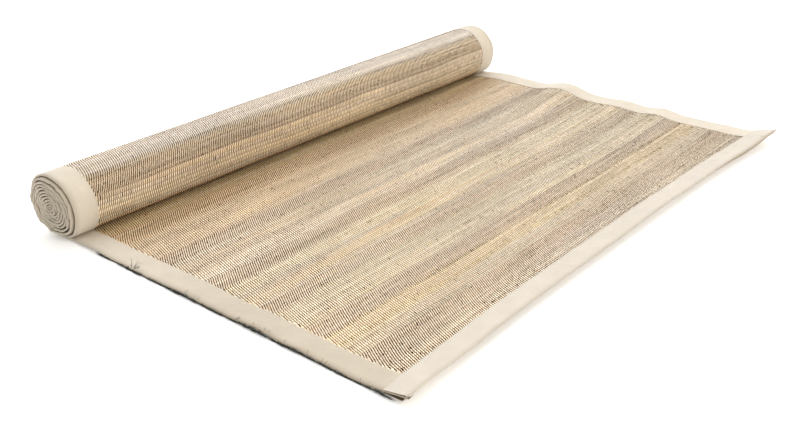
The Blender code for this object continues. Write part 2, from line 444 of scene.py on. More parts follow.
def rise(x, across):
    """The height of the loose cloth's underside over the floor."""
    height = np.zeros(np.broadcast(x, across).shape)
    for edge, place, fold_height, half_length, reach_inward in FOLDS:
        inward = np.maximum(inward_of(edge, across), 0.0)
        height = height + fold_height * hump(x - place, half_length) * hump(inward, reach_inward)
    for edge, edge_height, reach_inward in EDGE_RISES:
        inward = np.maximum(inward_of(edge, across), 0.0)
        height = height + edge_height * hump(inward, reach_inward) * (1 - hump(x, ROLL_HOLDS_DOWN))
    from_the_end = LOOSE_LENGTH + bow(across) - x
    height = height + END_RISE * curl(from_the_end, END_REACH)
    for place_across, extra_height, half_width, reach_inward in CURLS:
        beside = hump(across - place_across, half_width)
        height = height + extra_height * curl(from_the_end, reach_inward) * beside
    return height


def slip(turn):
    """How far the cloth has slipped along the roll's axis after so many turns."""
    angle = 2 * np.pi * turn
    lean = SLIP_ON_THE_SIDE * np.sin(angle) + SLIP_ON_THE_TOP * (1 - np.cos(angle))
    return -lean * (1 - turn / TURNS) - SLIP_IN_A_TURN * np.minimum(turn, SLIPPING_TURNS)


def wound_length(turn):
    """How much cloth so many turns hold, from the floor inwards."""
    return 2 * np.pi * (ROLL_RADIUS * turn - TURN_PITCH * turn ** 2 / 2)


def turn_at(wound):
    """How many turns this much wound cloth makes."""
    inside = ROLL_RADIUS ** 2 - TURN_PITCH * wound / np.pi
    return (ROLL_RADIUS - np.sqrt(np.maximum(inside, 0.0))) / TURN_PITCH


def loose_place(along, across, lift):
    """Points of the loose length. Its straws follow the bow of the free end only near it."""
    follows = np.clip((along - BOW_STARTS) / (LOOSE_LENGTH - BOW_STARTS), 0.0, None) ** BOW_GROWS
    x = along + bow(across) * follows
    return np.stack([x, across, rise(x, across) + lift], axis=-1)


def bulge(turn):
    """How far a turn is pushed out at the roll's lower right side, down to the loose cloth."""
    angle = np.mod(np.pi / 2 - 2 * np.pi * turn, 2 * np.pi) - np.pi
    outer = ROLL_RADIUS - TURN_PITCH * (0.75 - angle / (2 * np.pi))
    room = (ROLL_RADIUS - ROLL_LIES_AT) / np.maximum(-np.sin(angle), 0.5) - outer
    pushed = np.minimum(BULGE * hump(angle - BULGE_ANGLE, BULGE_REACH), np.maximum(room, 0.0))
    return pushed * ramp(turn, 0.02, 0.4) * (1 - turn / TURNS)


def wound_place(along, across, lift):
    """Points of the roll."""
    turn = turn_at(-along)
    angle = -np.pi / 2 - 2 * np.pi * turn
    settled = np.clip((turn - SETTLES_FROM_TURN) / (TURNS - SETTLES_FROM_TURN), 0.0, 1.0)
    uneven = np.sin(2 * angle + 0.6) + 0.6 * np.sin(3 * angle + 0.5 * turn)
    uneven = uneven + 0.4 * np.sin(5 * angle - 0.8 * turn) + 0.25 * np.sin(8 * angle + 1.3 * turn)
    slack = SLACK * ramp(turn, SETTLES_FROM_TURN, SLACK_TAKEN_BY_TURN)
    radius = ROLL_RADIUS - TURN_PITCH * turn - lift - slack
    radius = radius + OUT_OF_ROUND * uneven * np.minimum(3 * settled, 1.0) + bulge(turn)
    x = SETTLED_CENTRE[0] * settled - slack + radius * np.cos(angle)
    z = SETTLED_CENTRE[1] * settled + ROLL_RADIUS + radius * np.sin(angle)
    return np.stack([x, across + slip(turn), z], axis=-1)


def place(along, across, lift):
    """Points of the mat in the frame."""
    along, across, lift = np.broadcast_arrays(along, across, lift)
    loose = loose_place(np.maximum(along, 0.0), across, lift)
    wound = wound_place(np.minimum(along, 0.0), across, lift)
    points = np.where((along > 0)[..., None], loose, wound) + np.array([AXIS_X, EDGE_Y, 0.0])
    points[..., 2] = np.maximum(points[..., 2], OVER_THE_FLOOR)
    return points


def tape_wander(edge, along):
    """How far a side tape's inner edge lies from its plain width."""
    places = [row[0] for row in TAPE_WANDERS]
    wanders = [row[1 if edge == "near" else 2] for row in TAPE_WANDERS]
    return np.interp(along, places, wanders) + 0.12 * MM * wander(along, 21 * MM, 3)


def linear(shade):
    """A colour as light, from the way a screen names it."""
    return np.asarray(shade) ** 2.2


def make_object(name, points, faces, material):
    """A mesh object at the origin from points and faces."""
    mesh = bpy.data.meshes.new(name)
    mesh.from_pydata(points.reshape(-1, 3).tolist(), [], faces.tolist())
    mesh.materials.append(material)
    mesh.shade_smooth()
    piece = bpy.data.objects.new(name, mesh)
    bpy.context.collection.objects.link(piece)
    return piece


def ring_faces(sections, points):
    """Four-sided faces between closed sections that all have the same number of points."""
    section = np.arange(sections - 1)[:, None] * points
    point = np.arange(points)[None, :]
    following = (point + 1) % points
    corners = (section + point, section + following, section + points + following, section + points + point)
    return np.stack(corners, axis=-1).reshape(-1, 4)


def give_uv(mesh, name, x, y, closed=False):
    """A UV map from one place for each point of the mesh. A closed one runs round once from 0 to 1."""
    layer = mesh.uv_layers.new(name=name)
    corners = np.empty(len(mesh.loops), dtype=np.int32)
    mesh.loops.foreach_get("vertex_index", corners)
    places = np.stack(np.broadcast_arrays(x, y), axis=-1).reshape(-1, 2)[corners]
    if closed:
        faces = places.reshape(-1, 4, 2)
        over_the_seam = (faces.max(axis=1) - faces.min(axis=1) > 0.5)[:, None]
        places = np.where(over_the_seam & (faces < 0.5), 1.0, faces)
    layer.uv.foreach_set("vector", places.astype(np.float32).ravel())


def bake_share(along):
    """Where a place along the mat stands between 0 and 1, with most of the room for what shows."""
    places = (-wound_length(TURNS), -wound_length(1.1), 0.0, LOOSE_LENGTH)
    return np.interp(along, places, (0.0, 0.12, 0.48, 1.0))


def give_values(mesh, name, values):
    """An attribute with one number for each point."""
    layer = mesh.attributes.new(name, "FLOAT", "POINT")
    layer.data.foreach_set("value", values.astype(np.float32).ravel())


def give_colours(mesh, name, colours):
    """An attribute with one colour for each point."""
    layer = mesh.attributes.new(name, "FLOAT_COLOR", "POINT")
    flat = colours.reshape(-1, 3)
    with_alpha = np.concatenate([flat, np.ones((len(flat), 1))], axis=1)
    layer.data.foreach_set("color", with_alpha.astype(np.float32).ravel())


def make_strands(name, paths, radii, beside, sides, material):
    """Thin strands in one mesh, each round its own path, which has a radius for each point."""
    count, steps = radii.shape
    tangents = np.gradient(paths, axis=1)
    tangents /= np.linalg.norm(tangents, axis=-1, keepdims=True)
    first = np.cross(tangents, beside)
    first /= np.linalg.norm(first, axis=-1, keepdims=True)
    second = np.cross(tangents, first)
    angle = 2 * np.pi * np.arange(sides) / sides
    circle = first[:, :, None] * np.cos(angle)[:, None] + second[:, :, None] * np.sin(angle)[:, None]
    points = paths[:, :, None] + circle * radii[:, :, None, None]
    one = ring_faces(steps, sides)
    number = np.arange(count)[:, None, None]
    piece = make_object(name, points, (one[None] + steps * sides * number).reshape(-1, 4), material)
    columns = math.ceil(math.sqrt(count))
    u = (number % columns + 0.1 + 0.2 * np.arange(sides)) / columns
    v = (number // columns + 0.1 + 0.8 * np.arange(steps)[:, None] / (steps - 1)) / columns
    give_uv(piece.data, "OFBake", u, v)
    return piece


class Nodes:
    """Adds nodes to a material or a sky, each linked to what feeds it."""

    def __init__(self, owner, shader="Principled BSDF"):
        owner.use_nodes = True
        self.owner = owner
        self.tree = owner.node_tree
        self.shader = self.tree.nodes[shader]

    def feed(self, socket, value):
        if isinstance(value, bpy.types.NodeSocket):
            self.tree.links.new(value, socket)
        elif value is not None:
            socket.default_value = value

    def add(self, kind, settings=None, **inputs):
        node = self.tree.nodes.new(kind)
        for key, value in (settings or {}).items():
            setattr(node, key, value)
        for key, value in inputs.items():
            self.feed(node.inputs[key.replace("_", " ")], value)
        return node

    def math(self, operation, first, second=None):
        node = self.tree.nodes.new("ShaderNodeMath")
        node.operation = operation
        self.feed(node.inputs[0], first)
        self.feed(node.inputs[1], second)
        return node.outputs[0]

    def times(self, first, second):
        return self.math("MULTIPLY", first, second)

    def spread(self, value, low, high, to_low=0.0, to_high=1.0):
        node = self.tree.nodes.new("ShaderNodeMapRange")
        for index, part in enumerate((value, low, high, to_low, to_high)):
            self.feed(node.inputs[index], part)
        return node.outputs[0]

    def tone(self, noise, darkest, lightest):
        """A tone from a noise, whose values lie between about 0.3 and 0.7."""
        return self.spread(noise, 0.3, 0.7, darkest, lightest)

    def mix(self, blend, factor, first, second):
        node = self.tree.nodes.new("ShaderNodeMix")
        node.data_type = "RGBA"
        node.blend_type = blend
        self.feed(node.inputs[0], factor)
        self.feed(node.inputs[6], first)
        self.feed(node.inputs[7], second)
        return node.outputs[2]

    def noise(self, place_on, scale, detail=2.0, roughness=0.5):
        inputs = {"Vector": place_on, "Scale": scale, "Detail": detail, "Roughness": roughness}
        return self.add("ShaderNodeTexNoise", **inputs).outputs["Fac"]

    def value(self, name):
        return self.add("ShaderNodeAttribute", {"attribute_name": name}).outputs["Fac"]

    def colour(self, name):
        return self.add("ShaderNodeAttribute", {"attribute_name": name}).outputs["Color"]

    def uv(self, name):
        node = self.add("ShaderNodeUVMap", {"uv_map": name})
        parts = self.add("ShaderNodeSeparateXYZ", Vector=node.outputs["UV"])
        return parts.outputs["X"], parts.outputs["Y"]

    def place(self, x, y, z=0.0):
        return self.add("ShaderNodeCombineXYZ", X=x, Y=y, Z=z).outputs["Vector"]

    def grey(self, value):
        return self.add("ShaderNodeCombineColor", Red=value, Green=value, Blue=value).outputs["Color"]

    def bump(self, height, strength, distance, below=None):
        inputs = {"Height": height, "Strength": strength, "Distance": distance, "Normal": below}
        return self.add("ShaderNodeBump", **inputs).outputs["Normal"]

    def gloss(self, roughness, specular, sheen=0.0):
        self.feed(self.shader.inputs["Roughness"], roughness)
        self.shader.inputs["Specular IOR Level"].default_value = specular
        self.shader.inputs["Sheen Weight"].default_value = sheen
        self.shader.inputs["Sheen Roughness"].default_value = 0.4


def straw_material(weave):
    """Split straw: streaked along its length, with brown painted shade in the dips and painted shade beside
    the warp threads, and puffed up between the threads, where it is painted lighter.
    """
    nodes = Nodes(bpy.data.materials.new("woven_straw"))
    along, across = nodes.uv("cloth")
    row = nodes.value("row")
    number = nodes.math("FLOOR", row)
    fibres = nodes.place(nodes.times(along, 2600.0), nodes.times(across, 45.0), number)
    streaks = nodes.noise(fibres, 1.0, 3.0, 0.6)
    mottle = nodes.noise(nodes.place(nodes.times(number, 7.31), nodes.times(across, 14.0)), 1.0)
    flecks = nodes.noise(nodes.place(nodes.times(along, 420.0), nodes.times(across, 330.0)), 1.0, 1.0, 0.4)
    lean = nodes.times(nodes.math("SUBTRACT", nodes.math("FRACT", row), 0.5), nodes.math("SIGN", along))
    turns = nodes.math("DIVIDE", across, weave.warp_pitch)
    turns = nodes.math("ADD", turns, nodes.times(lean, THREAD_SLANT / 2))
    turns = nodes.math("SUBTRACT", turns, nodes.times(number, 0.5))
    puff_and_shade = nodes.math("ABSOLUTE", nodes.math("SINE", nodes.times(turns, math.pi)))
    tone = nodes.times(nodes.tone(streaks, 0.86, 1.12), nodes.tone(mottle, 0.92, 1.07))
    # Painted shade beside the warp threads and painted light on the puffed backs between them; the same wave
    # also bumps the straw
    tone = nodes.times(tone, nodes.spread(puff_and_shade, 0.25, 0.8, 0.62, 1.10))
    tone = nodes.times(tone, nodes.spread(flecks, 0.72, 0.80, 1.0, 0.5))
    straw = nodes.mix("MULTIPLY", 1.0, nodes.colour("shade"), nodes.grey(tone))
    # Painted shade deep in the dips between straws
    dip = nodes.spread(nodes.value("ridge"), 0.0, 0.45, 0.6, 0.0)
    straw = nodes.mix("MIX", dip, straw, (*weave.shadow_colour, 1.0))
    nodes.feed(nodes.shader.inputs["Base Color"], straw)
    nodes.gloss(nodes.tone(streaks, weave.roughness + 0.1, weave.roughness - 0.08), 0.72)
    normal = nodes.bump(puff_and_shade, 0.6, 0.35 * MM)
    nodes.feed(nodes.shader.inputs["Normal"], nodes.bump(streaks, 0.35, 0.12 * MM, normal))
    return nodes.owner


def thread_material(weave):
    """Dark cotton warp thread, a little faded in places and darker at its knots."""
    nodes = Nodes(bpy.data.materials.new("warp_thread"))
    place_on = nodes.add("ShaderNodeTexCoord").outputs["Object"]
    fade = nodes.tone(nodes.noise(place_on, 60.0, 3.0, 0.6), 0.8, 1.35)
    tone = nodes.times(fade, nodes.value("tone"))
    colour = nodes.mix("MULTIPLY", 1.0, (*weave.thread_colour, 1.0), nodes.grey(tone))
    nodes.feed(nodes.shader.inputs["Base Color"], colour)
    nodes.feed(nodes.shader.inputs["Normal"], nodes.bump(nodes.noise(place_on, 2500.0, 1.0), 0.4, 0.08 * MM))
    nodes.gloss(0.95, 0.1)
    return nodes.owner


def tape_material(tape, name, tint):
    """Plain-woven cotton tape, with fine yarns, soft puckers and a slightly uneven cream."""
    nodes = Nodes(bpy.data.materials.new(name))
    along, around = nodes.uv("cloth")
    yarns = []
    for direction, other in ((along, around), (around, along)):
        wave = nodes.math("SINE", nodes.times(direction, 2 * math.pi / tape.weave_pitch))
        over = nodes.math("SINE", nodes.times(other, math.pi / tape.weave_pitch))
        yarns.append(nodes.times(wave, nodes.math("ABSOLUTE", over)))
    weave = nodes.math("ADD", yarns[0], yarns[1])
    place_on = nodes.place(along, around)
    slubs = nodes.noise(nodes.place(nodes.times(along, 90.0), nodes.times(around, 900.0)), 1.0, 3.0, 0.6)
    cloud = nodes.noise(place_on, 38.0, 3.0, 0.55)
    pucker = nodes.noise(place_on, 150.0)
    tone = nodes.times(nodes.tone(cloud, 0.95, 1.04), nodes.tone(slubs, 0.965, 1.03))
    tone = nodes.times(tone, nodes.spread(weave, -1.4, 1.4, 0.93, 1.03))
    cotton = [part * share for part, share in zip(tape.colour, tint)]
    colour = nodes.mix("MULTIPLY", 1.0, (*cotton, 1.0), nodes.grey(tone))
    # Darkened where soiled and where shade is painted: inside the folds, between the roll's turns, on the
    # free end's fold and along the near tape
    colour = nodes.mix("MULTIPLY", nodes.value("soil"), colour, (*tape.soil_and_shade_tint, 1.0))
    nodes.feed(nodes.shader.inputs["Base Color"], colour)
    normal = nodes.bump(pucker, 0.35, 0.6 * MM)
    nodes.feed(nodes.shader.inputs["Normal"], nodes.bump(weave, 0.5, 0.10 * MM, normal))
    nodes.gloss(0.85, 0.3, 0.25)
    return nodes.owner


def plain_material(name, colour, uneven):
    """A matt fibre or sewing thread, a little uneven."""
    nodes = Nodes(bpy.data.materials.new(name))
    place_on = nodes.add("ShaderNodeTexCoord").outputs["Object"]
    tone = nodes.tone(nodes.noise(place_on, 120.0, 3.0, 0.6), 1 - uneven, 1 + uneven)
    toned = nodes.mix("MULTIPLY", 1.0, (*colour, 1.0), nodes.grey(tone))
    nodes.feed(nodes.shader.inputs["Base Color"], toned)
    nodes.gloss(0.8, 0.3)
    return nodes.owner


def straw_rows():
    """Each straw's start and end along the mat, its shade and how deep the dips beside it are."""
    random = np.random.default_rng(11)
    weave = bpy.context.scene.mat_weave
    starts = np.array([band[0] for band in BANDS])
    borders = np.repeat(starts[1:], 2)
    halves = np.tile([-0.5, 0.5], len(BANDS) - 1)
    widths = np.repeat([band[1] for band in BANDS], 2)[1:-1]
    shades = np.repeat([SHADES[band[2]] for band in BANDS], 2, axis=0)[1:-1]
    edges = [starts[0]]
    while edges[-1] < STRAW_ENDS:
        width = np.interp(edges[-1], borders + halves * WIDTH_BLENDS_OVER, widths)
        edges.append(edges[-1] + width * random.uniform(0.87, 1.13))
    edges = np.array(edges)
    middles = (edges[1:] + edges[:-1]) / 2 + random.uniform(-1, 1, len(edges) - 1) * SHADE_BLENDS_OVER / 3
    knots = borders + halves * SHADE_BLENDS_OVER
    colours = np.stack([np.interp(middles, knots, shades[:, channel]) for channel in range(3)], axis=-1)
    tones = 1 + STRAW_TONES * random.standard_normal((len(middles), 1))
    tones = tones + STRAW_HUES * random.standard_normal((len(middles), 3))
    colours = linear(colours) * np.clip(tones, 0.84, 1.12)
    depths = np.where(np.diff(edges) < FINE_STRAW, weave.fine_depth, weave.coarse_depth)
    return edges[:-1], edges[1:], colours, depths


def straw_waver(along, across):
    """How far a straw strays from a straight line, in step with its neighbours."""
    slow = np.sin(2 * np.pi * across / (230 * MM) + along / (40 * MM))
    quick = np.sin(2 * np.pi * across / (97 * MM) + along / (23 * MM))
    near_the_end = ramp(along, 380 * MM, 420 * MM)
    return (0.65 * MM * slow + 0.3 * MM * quick) * (1 - near_the_end)


def straw_swell(across):
    """How uneven the straws' backs are along their length."""
    return 0.10 * MM * wander(across, 180 * MM, 5)


def stations_along(rows):
    """The cross lines of the woven cloth, from the free end to the core: place, row, ridge and depth."""
    starts, stops, _, depths = rows
    shares = np.array([0.0, 0.3, 0.7])
    places = (starts[:, None] + (stops - starts)[:, None] * shares).ravel()
    numbers = (np.arange(len(starts))[:, None] + shares).ravel()
    turns = np.arange(turn_at(-starts[0]) + 1 / INNER_STEPS_IN_A_TURN, TURNS, 1 / INNER_STEPS_IN_A_TURN)
    inner = -wound_length(np.append(turns, TURNS))[::-1]
    plain = np.ones(len(inner))
    along = np.concatenate([inner, places, stops[-1:]])
    row = np.concatenate([0 * plain, numbers, [len(starts) - 0.01]])
    ridge = np.concatenate([plain, np.tile([0.0, 1.0, 1.0], len(starts)), [0.0]])
    depth = np.concatenate([depths[0] * plain, np.repeat(depths, 3), depths[-1:]])
    return along[::-1], row[::-1], ridge[::-1], depth[::-1]


def lines_across(along, shape):
    """The places across the straw cloth of its lengthwise lines, which follow the tapes' inner edges."""
    tucked = [shape.tape_width + inside for inside in (-STRAW_TUCKED_IN, PRESSED_FROM, PRESSED_TO)]
    inner = np.linspace(tucked[-1] + 14 * MM, MAT_WIDTH - tucked[-1] - 14 * MM, STATIONS_ACROSS)
    near = [place_in + tape_wander("near", along) for place_in in tucked]
    far = [MAT_WIDTH - place_in - tape_wander("far", along) for place_in in reversed(tucked)]
    middle = [np.full(np.shape(along), line) for line in inner]
    return np.stack(near + middle + far)


def pressed(across, along, shape):
    """How much the tapes press the straw together: 1 in the open and less under a tape."""
    near_edge = shape.tape_width + tape_wander("near", along)
    far_edge = MAT_WIDTH - shape.tape_width - tape_wander("far", along)
    inside = np.minimum(across - near_edge, far_edge - across)
    inside = np.minimum(inside, LOOSE_LENGTH - shape.tape_width - along)
    opened = np.clip((inside - PRESSED_FROM) / (PRESSED_TO - PRESSED_FROM), 0.0, 1.0)
    return PRESSED_SHARE + (1 - PRESSED_SHARE) * opened


def straw_shades(rows, number, along, across):
    """The straws' colours. Each straw changes a little along its length, where another one takes over, and a
    painted sheen whitens them towards the far edge, most on the roll.
    """
    starts, stops, shades = rows[:3]
    random = np.random.default_rng(12)
    count = len(shades)
    joint = random.uniform(0.0, MAT_WIDTH, (2, count))[:, number]
    change = JOINT_TONES * random.standard_normal((2, count))[:, number]
    warmth = JOINT_WARMTH * random.standard_normal((2, count))[:, number]
    tones = 1 + 0.03 * np.sin(2 * np.pi * across / (310 * MM) + along * 40)
    tones = tones + 0.02 * np.sin(across / (21 * MM) + along * 130)
    hues = np.zeros(across.shape)
    for one_joint, one_change, one_warmth in zip(joint, change, warmth):
        past = np.where(across > one_joint, 1.0, -1.0)
        tones = tones + one_change * past
        hues = hues + one_warmth * past
    hues = hues + 0.018 * np.sin(2 * np.pi * across / (470 * MM) + along * 55) * np.sin(along * 70 + 1.0)
    colours = shades[number][None, :, :] * tones[..., None]
    middle = starts[number] / 2 + stops[number] / 2
    for place_of, from_across, to_across, shade in ODD_STRAWS:
        beside = np.abs(middle - place_of) < ODD_STRAW_REACH
        inside = beside & (across > from_across) & (across < to_across)
        colours[inside] = linear(SHADES[shade]) * ODD_STRAW_TONE
    # Painted sheen, whiter and bluer towards the far edge and most on the roll
    tint = FAR_SHEEN_TINT + ROLL_SHEEN * (along < 0)[..., None]
    painted_sheen = ramp(across, 180 * MM, 480 * MM)[..., None] * tint
    return colours * (1 + hues[..., None] * WARMER + painted_sheen)


def cloth_faces(lines, stations):
    """The faces round the cloth's sections and those that close its first and last one."""
    step = np.arange(stations - 1)
    back = 2 * stations - 1 - step
    side = np.stack([step, back, back - 1, step + 1], axis=-1)
    last = (lines - 1) * 2 * stations
    return np.concatenate([ring_faces(lines, 2 * stations), side, side[:, ::-1] + last])


def make_straw_cloth(shape, material):
    """The woven cloth: closed sections of both faces from the free end to the core, side by side."""
    rows = straw_rows()
    along, row, ridge, depth = stations_along(rows)
    across = lines_across(along, shape)
    places = along[None, :] + straw_waver(along[None, :], across)
    swell = straw_swell(across) * ridge
    half = (shape.straw_thickness / 2 - depth * (1 - ridge) + swell) * pressed(across, along, shape)
    middle = shape.straw_thickness / 2 + LOOSE_STRAW_LIFT * (along > 0)
    upper = place(places, across, middle + half)
    lower = place(places, across, middle - half)
    loops = np.concatenate([upper, lower[:, ::-1]], axis=1)
    piece = make_object("straw_cloth", loops, cloth_faces(*across.shape), material)
    doubled = np.concatenate([along, along[::-1]])
    across_all = np.concatenate([across, across[:, ::-1]], axis=1)
    give_uv(piece.data, "cloth", doubled, across_all)
    share = np.concatenate([1 - 0.6 * bake_share(along), 0.4 * bake_share(along[::-1])])
    give_uv(piece.data, "OFBake", across_all / MAT_WIDTH, share, closed=True)
    for name, values in (("row", row), ("ridge", ridge)):
        both = np.concatenate([values, values[::-1]])
        give_values(piece.data, name, np.broadcast_to(both, across_all.shape))
    colours = straw_shades(rows, row.astype(int), along[None, :], across)
    give_colours(piece.data, "shade", np.concatenate([colours, colours[:, ::-1]], axis=1))
    return piece


def thread_floats(rows, first_row, face, shape, weave):
    """The straw and the place across of each thread float of one set on one face of the cloth."""
    starts, stops = rows[:2]
    last_wound = np.nonzero(stops <= 0)[0][-1]
    straws = np.arange(len(starts))
    if face == "upper":
        straws = straws[straws > last_wound]
    else:
        straws = straws[(straws <= last_wound) & (starts > -wound_length(1.02))]
    straws = straws[straws % 2 == first_row]
    first = math.floor(shape.tape_width / weave.warp_pitch)
    last = math.ceil((MAT_WIDTH - shape.tape_width) / weave.warp_pitch)
    across = weave.warp_pitch * (np.arange(first, last) + 0.5 * first_row)
    straw, line = np.meshgrid(straws, across, indexing="ij")
    return straw.ravel(), line.ravel()


def float_points(rows, straw, line, half, high, outwards, shape, weave):
    """The points of thread floats, two on each cross line, and their places along and across."""
    start, stop, depth = rows[0][straw], rows[1][straw], rows[3][straw]
    middle = shape.straw_thickness / 2
    points, places = [], []
    for share, top, wide in FLOAT_LINES:
        at = start + (stop - start) * share
        lean = outwards * THREAD_SLANT * (0.5 - share) * weave.warp_pitch / 2
        for side in (-1, 1):
            beside = line + lean + side * half * wide
            out = middle - depth * (1 - top) + straw_swell(beside) * top
            out = out * pressed(beside, at, shape) + THREAD_STANDS_OFF + top * high
            lift = middle + LOOSE_STRAW_LIFT * (at > 0) + out * outwards
            points.append(place(at + straw_waver(at, beside), beside, lift))
            places.append(np.stack([at, beside], axis=-1))
    return np.stack(points, axis=1), np.stack(places, axis=1)


def make_warp(name, first_row, shape, weave, material):
    """One set of warp threads: a slanted float over every other straw, from one dip to the next."""
    rows = straw_rows()
    fine = rows[1] - rows[0] < FINE_STRAW
    random = np.random.default_rng(20 + first_row)
    boldness = np.random.default_rng(15).uniform(-1.0, 1.0, (3, len(fine)))
    points, places, tones = [], [], []
    for face, outwards in (("upper", 1), ("outer", -1)):
        straw, line = thread_floats(rows, first_row, face, shape, weave)
        line = line + random.uniform(-0.08, 0.08, straw.size) * weave.warp_pitch
        knot = random.uniform(0, 1, straw.size) < KNOTS
        length = BOLD_LENGTH * (1 + 0.2 * boldness[1, straw])
        bold = boldness[0, straw] + 0.7 * np.sin(2 * np.pi * (line / length + boldness[2, straw]))
        half = weave.thread_width / 2 * random.uniform(0.78, 1.22, straw.size) * np.where(knot, 1.45, 1.0)
        half = half * np.where(fine[straw], FINE_STRAW_THREAD, 1.0) * (1 + 0.16 * bold)
        high = weave.thread_height * random.uniform(0.7, 1.25, straw.size)
        tone = np.where(knot, 0.45, random.uniform(0.7, 1.3, straw.size) * (1 - 0.25 * bold))
        edge = shape.tape_width + 0.2 * MM
        inside = (line > edge) & (line < MAT_WIDTH - edge)
        floats = float_points(rows, straw, line, half, high, outwards, shape, weave)
        points.append(floats[0][inside])
        places.append(floats[1][inside])
        tones.append(np.repeat(tone[inside], 2 * len(FLOAT_LINES)))
    upper, outer = (len(part) for part in points)
    ribbon = np.array([(0, 2, 3, 1), (2, 4, 5, 3), (4, 6, 7, 5)])
    faces = ribbon[None] + 8 * np.arange(upper + outer)[:, None, None]
    faces[upper:] = faces[upper:, :, ::-1]
    piece = make_object(name, np.concatenate(points), faces.reshape(-1, 4), material)
    at, beside = np.moveaxis(np.concatenate(places), -1, 0)
    give_uv(piece.data, "OFBake", bake_share(at), beside / MAT_WIDTH)
    give_values(piece.data, "tone", np.concatenate(tones))
    return piece


def fibre_paths(random, along, length, heading, climb, lift, inset):
    """Curved paths that start at the near edge, each with its heading over the floor and its climb."""
    steps = np.linspace(0.0, 1.0, 5)
    most = 0.5 * np.minimum(climb[:, None] ** 2 * 20, 1.0)
    bend = random.uniform(-1.0, 1.0, (2, len(along), 1)) * steps * most
    travel = length[:, None] * steps
    x = along[:, None] + travel * np.cos(heading[:, None] + bend[0])
    y = inset[:, None] - travel * np.sin(heading[:, None] + bend[0])
    z = lift[:, None] + travel * np.sin(climb[:, None] + bend[1] * 0.6)
    return np.stack([x + AXIS_X, y + EDGE_Y, np.maximum(z, 0.4 * MM)], axis=-1)


def fray_and_gap_shade_fibres(random):
    """Fibres that lie along the near edge's fold: fray that is also painted shade in the gap under the tape.
    """
    along = random.uniform(FRAY_FROM, FRAY_TO, FRAY_COUNT)
    length = random.uniform(3.0, 11.0, FRAY_COUNT) * MM
    heading = random.choice([0.0, np.pi], FRAY_COUNT) + random.normal(0.0, 0.04, FRAY_COUNT)
    under = np.clip(rise(along, 0.0), 0.6 * MM, 2.4 * MM)
    lift = random.uniform(0.05, 1.15, FRAY_COUNT) * under * (0.8 + 0.35 * wander(along, 33 * MM, 63))
    pulled_out = 0.9 * MM * np.maximum(wander(along, 52 * MM, 64), 0.0)
    inset = random.uniform(-0.3, 1.7, FRAY_COUNT) * MM - pulled_out
    climb = random.normal(0.0, 0.03, FRAY_COUNT)
    return fibre_paths(random, along, length, heading, climb, lift, inset)


def stubble_fibres(random):
    """Short fibres that climb over the ones along the fold."""
    along = random.uniform(FRAY_FROM + 30 * MM, FRAY_TO, FRAY_STUBBLE)
    along = along + 9 * MM * wander(along, 46 * MM, 61)
    length = random.uniform(0.5, 1.0, FRAY_STUBBLE) ** 2 * 3.6 * MM
    heading = random.choice([0.1, np.pi - 0.1], FRAY_STUBBLE) + random.normal(0.0, 0.1, FRAY_STUBBLE)
    climb = random.uniform(0.4, 1.2, FRAY_STUBBLE)
    lift = np.minimum(rise(along, 0.0), 3.0 * MM) + random.uniform(0.0, 0.8, FRAY_STUBBLE) * MM
    return fibre_paths(random, along, length, heading, climb, lift, np.full(FRAY_STUBBLE, FRAY_STARTS))


def tuft_fibres(random, place_of, spread, count, longest):
    """One tuft that stands up from the near edge."""
    along = place_of + random.normal(0.0, 0.5, count) * spread
    length = random.uniform(0.35, 1.0, count) * longest
    heading = random.uniform(-2.4, -0.6, count)
    climb = random.uniform(0.45, 1.1, count)
    lift = rise(along, 0.0) + random.uniform(0.0, 1.0, count) * MM
    return fibre_paths(random, along, length, heading, climb, lift, np.full(count, FRAY_STARTS))


def make_fibres(material):
    """The frayed fibres along the near edge, whose dark colour is also painted shade in the gap under it."""
    random = np.random.default_rng(31)
    strands = [fray_and_gap_shade_fibres(random), stubble_fibres(random)]
    strands += [tuft_fibres(random, *tuft) for tuft in FIBRE_TUFTS]
    paths = np.concatenate(strands)
    thick = np.full(len(paths), 0.24 * MM)
    swollen = 1 + 0.6 * wander(paths[:FRAY_COUNT, 0, 0], 70 * MM, 62)
    thick[:FRAY_COUNT] = random.uniform(0.14, 0.36, FRAY_COUNT) * MM * swollen
    radii = thick[:, None] * FIBRE_TAPER
    return make_strands("loose_fibres", paths, radii, (0.0, 0.0, 1.0), 4, material)


def fold_section(shape, nose):
    """The tape's section round an edge, as distance inward and lift, outer face first and then inner."""
    thickness = shape.tape_thickness
    bend = np.pi / 2 - np.pi * np.arange(9) / 8
    leaf = LEAF_LINES * shape.tape_width
    sections = []
    for inset, flip in ((0.0, 1), (shape.tape_cloth, -1)):
        half = thickness / 2 - inset
        round_in = inset + (nose - inset) * (1 - np.cos(bend))
        round_up = thickness / 2 + half * np.sin(bend)
        flat = np.full(len(leaf), half)
        flat[0] -= LEAF_EDGE_PRESSED * (inset == 0)
        inward = np.concatenate([leaf, round_in, leaf[::-1]])
        lift = np.concatenate([thickness / 2 + flat, round_up, thickness / 2 - flat[::-1]])
        sections.append(np.stack([inward, lift], axis=-1)[::flip])
    return np.concatenate(sections)


